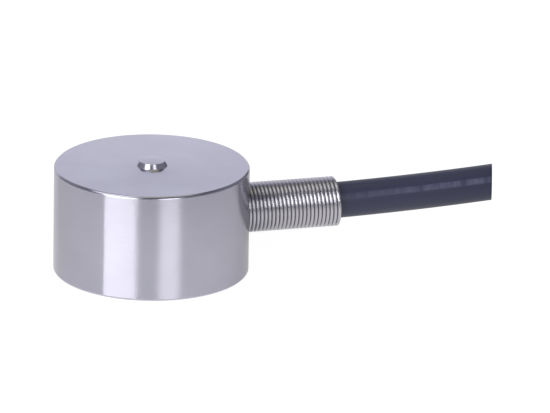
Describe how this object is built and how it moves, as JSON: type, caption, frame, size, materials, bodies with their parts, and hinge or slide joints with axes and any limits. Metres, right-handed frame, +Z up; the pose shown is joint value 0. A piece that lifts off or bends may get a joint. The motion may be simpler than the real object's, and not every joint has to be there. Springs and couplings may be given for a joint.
{
  "type": "strain gauge load cell",
  "caption": "Miniature round button load cell with a flat top, a small crowned load button, tapped holes in its base, and a cable leaving its side through a close-wound spring.",
  "frame": {"origin": "middle of the flat base, on the plane that the body stands on", "axes": "+Z up through the load button, +X along the spring and the cable's way out of the body"},
  "size_m": [0.0473, 0.02, 0.0118],
  "materials": {
    "body_steel": "fine turned stainless steel, satin",
    "cover_steel": "turned stainless steel disc, welded round its edge",
    "spring_steel": "bright drawn spring wire",
    "sheath": "smooth dark blue-black polyurethane with a soft sheen",
    "shield_braid": "tinned copper braid",
    "core_red": "extruded insulation",
    "core_black": "extruded insulation",
    "core_green": "extruded insulation",
    "core_white": "extruded insulation",
    "tinned_copper": "fine stranded and tinned copper",
    "epoxy": "cast epoxy",
    "board_laminate": "glass laminate with solder resist",
    "pad_copper": "gold plated copper",
    "gauge_film": "amber polyimide film",
    "gauge_foil": "etched copper-nickel foil",
    "solder": "bright solder",
    "resistor": "dark ceramic chip with tinned ends"
  },
  "bodies": {
    "root": {"sensing_body": "body_steel", "bottom_cover": "cover_steel", "strain_relief_spring": "spring_steel", "cable_sheath": "sheath", "cable_shield": "shield_braid", "core_red": "core_red", "core_black": "core_black", "core_green": "core_green", "core_white": "core_white", "conductor_red": "tinned_copper", "conductor_black": "tinned_copper", "conductor_green": "tinned_copper", "conductor_white": "tinned_copper", "cable_potting": "epoxy", "terminal_board": "board_laminate", "board_pads": "pad_copper", "gauge_carrier_1": "gauge_film", "gauge_carrier_2": "gauge_film", "gauge_carrier_3": "gauge_film", "gauge_carrier_4": "gauge_film", "gauge_grid_1": "gauge_foil", "gauge_grid_2": "gauge_foil", "gauge_grid_3": "gauge_foil", "gauge_grid_4": "gauge_foil", "gauge_leads": "tinned_copper", "gauge_solder": "solder", "cable_solder": "solder", "balance_resistor": "resistor", "zero_temp_resistor": "resistor", "span_temp_resistor": "resistor", "span_set_resistor": "resistor"}
  },
  "joints": []
}
